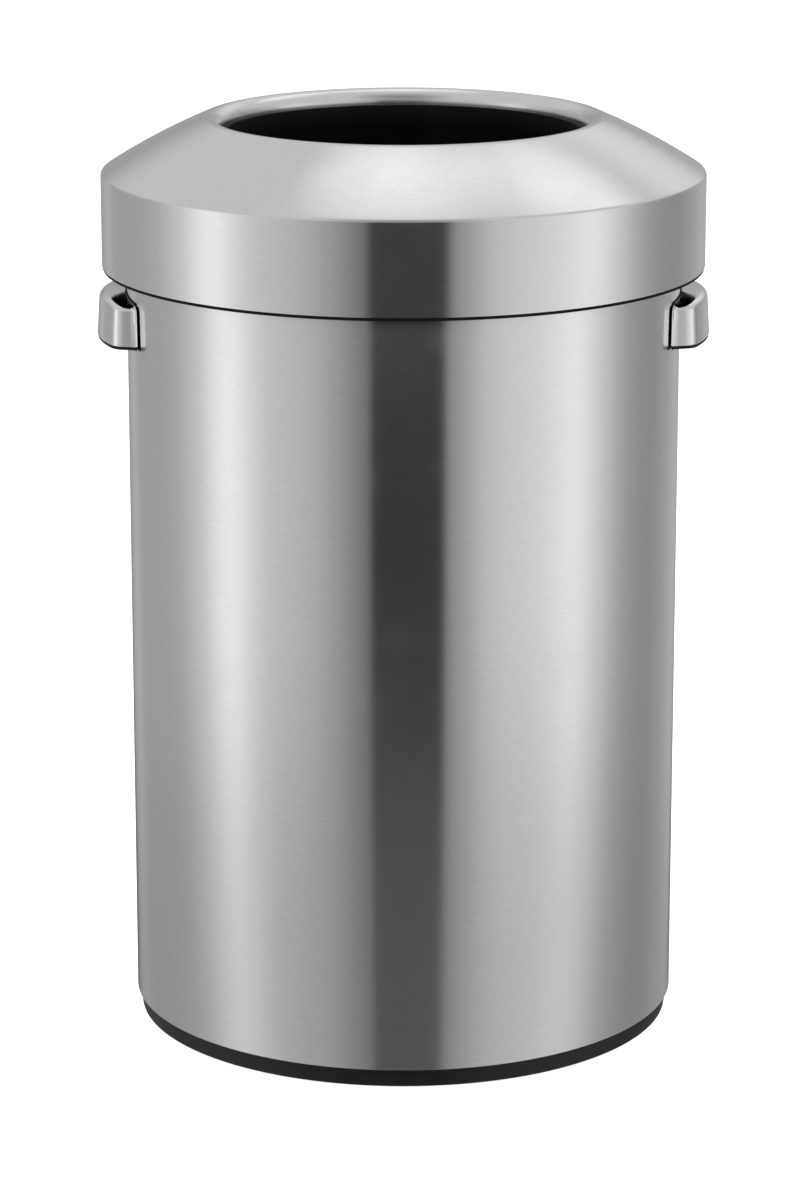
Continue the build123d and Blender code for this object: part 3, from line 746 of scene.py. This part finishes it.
def panHead(radius, height, shank, depth, roundness=0.5):
    # profile of a screw seen from its side, from the shank's tip to the middle of the head
    arc = np.linspace(0.0, math.pi / 2, 7)[:, None]
    bend = height * roundness
    edge = np.array([radius - bend, height - bend]) + bend * np.hstack([np.cos(arc), np.sin(arc)])
    flat = np.array([[radius * 0.55, height], [radius * 0.42, height], [radius * 0.30, height],
                     [radius * 0.16, height], [0.0, height]])
    return np.vstack([[0.0, -depth], [shank * 0.7, -depth], [shank, -depth + 0.0006], [shank, 0.0],
                      [radius, 0.0], edge, flat])


def crossRecess(arm, half, deep, low):
    # cross-shaped recess: two crossing grooves, deepest in the middle and shallower outwards in
    # proportion to the distance from it
    def recess(x, y, z):
        spread = np.hypot(x, y)
        groove = (np.minimum(np.abs(x), np.abs(y)) < half) & (spread < arm) & (z > low)
        return np.where(groove, deep * np.clip(1.15 - spread / arm, 0.0, 1.0), 0.0)
    return recess


lidScrew = {"radius": 0.0034, "head": 0.0026, "shank": 0.0019, "turns": (45, 135, 225, 315),
            "arm": 0.0017, "halfSlot": 0.00035, "deep": 0.0013, "above": 0.0020}
lowest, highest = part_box("lid_screws")
seat = lowest.z + lidScrew["head"]
circle = math.hypot(highest.x - lidScrew["radius"], highest.y - lidScrew["radius"])
profile = panHead(lidScrew["radius"], lidScrew["head"], lidScrew["shank"], highest.z - seat)
recess = crossRecess(lidScrew["arm"], lidScrew["halfSlot"], lidScrew["deep"], lidScrew["above"])
places = [(circle * math.cos(a), circle * math.sin(a), seat)
          for a in np.radians(lidScrew["turns"])]
parts = [solidOfTurn(profile, place, (0, 0, -1), recess=recess) for place in places]
dress(gather("lidScrewSet", parts), "lid", "screw_steel", "lid_screws")
print("stage: fasteners made")


def emissionMaterial(name):
    material = bpy.data.materials.new(name)
    material.use_nodes = True
    tree = material.node_tree
    tree.nodes.clear()
    return material, tree, tree.nodes.new("ShaderNodeOutputMaterial")


studioFloor = {"half": 14.0, "tone": 0.80, "glow": 0.78}


def litRays(tree):
    # 1 for rays that should see a pale studio: from the camera, in metal and through glass
    path = tree.nodes.new("ShaderNodeLightPath")
    return mathNode(tree, "MAXIMUM", path.outputs["Is Camera Ray"],
                    mathNode(tree, "MAXIMUM", path.outputs["Is Glossy Ray"],
                             path.outputs["Is Transmission Ray"]))


def makeFloor(size):
    # pale floor: plain diffuse for its shadow, lifted to white for the camera and in reflections,
    # and see-through from below so the underside can be looked at
    material, tree, out = emissionMaterial("studioFloor")
    diffuse = tree.nodes.new("ShaderNodeBsdfDiffuse")
    diffuse.inputs["Color"].default_value = (*[size["tone"]] * 3, 1.0)
    glow = tree.nodes.new("ShaderNodeEmission")
    glow.inputs["Strength"].default_value = size["glow"]
    total = tree.nodes.new("ShaderNodeAddShader")
    tree.links.new(diffuse.outputs[0], total.inputs[0])
    tree.links.new(glow.outputs[0], total.inputs[1])
    shown = tree.nodes.new("ShaderNodeMixShader")
    tree.links.new(litRays(tree), shown.inputs[0])
    tree.links.new(diffuse.outputs[0], shown.inputs[1])
    tree.links.new(total.outputs[0], shown.inputs[2])
    clear = tree.nodes.new("ShaderNodeBsdfTransparent")
    behind = tree.nodes.new("ShaderNodeNewGeometry")
    sides = tree.nodes.new("ShaderNodeMixShader")
    tree.links.new(behind.outputs["Backfacing"], sides.inputs[0])
    tree.links.new(shown.outputs[0], sides.inputs[1])
    tree.links.new(clear.outputs[0], sides.inputs[2])
    tree.links.new(sides.outputs[0], out.inputs[0])
    corners = size["half"] * np.array([[-1, -1, 0], [1, -1, 0], [1, 1, 0], [-1, 1, 0]], float)
    floor = meshObject("studioFloor", corners, np.array([[0, 1, 2, 3]]), smooth=False)
    floor.data.materials.append(material)
    floor.visible_glossy = False
    return floor


makeFloor(studioFloor)

# how bright the studio is all round, as metal sees it: degrees from the front towards +X and
# brightness; a narrow dark flag stands in front, broad soft boxes to both sides, a dimmer back
studioRing = [
    (-180, 0.38), (-170, 0.37), (-161, 0.37), (-151, 0.49), (-142, 0.41), (-128, 0.42),
    (-117, 0.44), (-107, 0.48), (-98, 0.60), (-90, 0.76), (-86, 0.89), (-82, 1.00), (-77, 1.09),
    (-73, 1.06), (-68, 0.92), (-61.6, 0.77), (-55, 0.66), (-45.7, 0.59), (-36.5, 0.52),
    (-27.6, 0.39), (-21.8, 0.29), (-16, 0.21), (-14.4, 0.19), (-13.3, 0.03), (15.2, 0.03),
    (16.4, 0.24), (20, 0.35), (26, 0.47), (32, 0.61), (41, 0.73), (50, 0.78), (60, 0.87),
    (69.6, 0.99), (75, 1.00), (80, 0.90), (87.6, 0.72), (95.5, 0.53), (104, 0.40), (113, 0.33),
    (124, 0.31), (136, 0.38), (152, 0.47), (163, 0.44), (168, 0.42), (180, 0.38)]
studioSky = {"radius": 8.0, "power": 1.25, "overhead": 0.655, "from": 0.22, "to": 0.50,
             "nearFloor": 0.22, "floorFrom": -0.25, "floorTo": -0.36, "floorShare": 0.42,
             # soft boxes: direction round and up in degrees, half width and added brightness; the
             # last two take light away: the dark room above the camera, and a low flag behind
             # that draws a thin dark line down both sides of the can
             "boxes": ((181.0, 67.0, 8.5, 0.65), (143.0, 54.5, 8.5, 0.58),
                       (157.0, 25.0, 10.0, 0.20), (0.0, 50.0, 16.0, -0.36),
                       (180.0, -17.0, 10.0, -0.36))}


def makeLightTent(ring, sky):
    # a big sphere that only reflections see: brightness by direction round the object,
    # blended upwards into an even overhead light
    material, tree, out = emissionMaterial("lightTent")
    place = tree.nodes.new("ShaderNodeTexCoord")
    split = tree.nodes.new("ShaderNodeSeparateXYZ")
    tree.links.new(place.outputs["Object"], split.inputs[0])
    x, y, z = split.outputs
    around = mathNode(tree, "ARCTAN2", x, mathNode(tree, "MULTIPLY", y, -1.0))
    share = rangeNode(tree, around, -math.pi, math.pi)
    levels = None
    for begin in range(0, len(ring) - 1, 15):       # a ramp holds few stops, so several are joined
        stops = ring[begin:begin + 16]
        ramp = tree.nodes.new("ShaderNodeValToRGB")
        tree.links.new(share, ramp.inputs[0])
        points = ramp.color_ramp.elements
        first = (stops[0][0] + 180) / 360
        for index, (angle, value) in enumerate(stops):
            where = (angle + 180) / 360
            point = points[index] if index < 2 else points.new(where)
            point.position = where
            point.color = (*[value / sky["power"]] * 3, 1.0)
        if levels is None:
            levels = ramp.outputs[0]
        else:
            later = mathNode(tree, "GREATER_THAN", share, first)
            levels = mixColours(tree, later, levels, ramp.outputs[0])
    up = mathNode(tree, "DIVIDE", z, sky["radius"])
    low = rangeNode(tree, up, sky["floorFrom"], sky["floorTo"], 0.0, sky["floorShare"])
    value = mixColours(tree, low, levels, (sky["nearFloor"] / sky["power"],) * 3)
    high = rangeNode(tree, up, sky["from"], sky["to"])
    value = mixColours(tree, high, value, (sky["overhead"] / sky["power"],) * 3)
    for azimuth, elevation, halfWidth, extra in sky["boxes"]:
        a, e = math.radians(azimuth), math.radians(elevation)
        toBox = tree.nodes.new("ShaderNodeVectorMath")
        toBox.operation = "DOT_PRODUCT"
        unit = tree.nodes.new("ShaderNodeVectorMath")
        unit.operation = "NORMALIZE"
        tree.links.new(place.outputs["Object"], unit.inputs[0])
        tree.links.new(unit.outputs[0], toBox.inputs[0])
        toBox.inputs[1].default_value = (math.cos(e) * math.sin(a), -math.cos(e) * math.cos(a),
                                         math.sin(e))
        edge = math.cos(math.radians(halfWidth * 1.7))
        core = math.cos(math.radians(halfWidth * 0.4))
        glowHere = rangeNode(tree, toBox.outputs["Value"], edge, core, 0.0, extra / sky["power"])
        more = tree.nodes.new("ShaderNodeMix")
        more.data_type = "RGBA"
        more.blend_type = "ADD"
        more.inputs[0].default_value = 1.0
        tree.links.new(value, more.inputs[6])
        tree.links.new(glowHere, more.inputs[7])
        value = more.outputs[2]
    glow = tree.nodes.new("ShaderNodeEmission")
    glow.inputs["Strength"].default_value = sky["power"]
    tree.links.new(value, glow.inputs["Color"])
    tree.links.new(glow.outputs[0], out.inputs[0])
    bpy.ops.mesh.primitive_uv_sphere_add(segments=64, ring_count=32, radius=sky["radius"])
    tent = bpy.context.active_object
    tent.name = "lightTent"
    tent.data.materials.append(material)
    for ray in ("camera", "diffuse", "transmission", "shadow", "volume_scatter"):
        setattr(tent, "visible_" + ray, False)
    return tent


makeLightTent(studioRing, studioSky)

world = bpy.data.worlds.new("studioWorld")
scene.world = world
world.use_nodes = True
tree = world.node_tree
backdrop = tree.nodes["Background"]
worldLevel = {"diffuse": 0.55, "seen": 1.0}
tree.links.new(rangeNode(tree, litRays(tree), 0.0, 1.0, worldLevel["diffuse"], worldLevel["seen"]),
               backdrop.inputs["Strength"])
backdrop.inputs["Color"].default_value = (1.0, 1.0, 1.0, 1.0)

# name, place, watts, side
softBoxes = [("keyBox", (-1.6, -1.4, 2.4), 38.0, 1.6), ("fillBox", (1.8, -1.0, 2.2), 28.0, 1.8),
             ("topBox", (0.0, 0.6, 2.8), 26.0, 2.0)]
for label, place, power, side in softBoxes:
    data = bpy.data.lights.new(label, "AREA")
    data.energy = power
    data.size = side
    lamp = bpy.data.objects.new(label, data)
    scene.collection.objects.link(lamp)
    lamp.location = place
    aim = Vector((0, 0, 0.3)) - Vector(place)
    lamp.rotation_euler = aim.to_track_quat("-Z", "Y").to_euler()
    lamp.visible_glossy = False

view = {"place": (-0.0335, -2.980, 1.080), "pitch": 14.74, "yaw": 0.59, "lens": 4337.9 * 36 / 1200}
cameraData = bpy.data.cameras.new("photoCamera")
cameraData.lens = view["lens"]
cameraData.sensor_width = 36.0
cameraData.clip_end = 60.0
camera = bpy.data.objects.new("photoCamera", cameraData)
scene.collection.objects.link(camera)
camera.location = view["place"]
camera.rotation_euler = (math.radians(90 - view["pitch"]), 0.0, math.radians(-view["yaw"]))
scene.camera = camera
print("stage: floor, light and camera made")
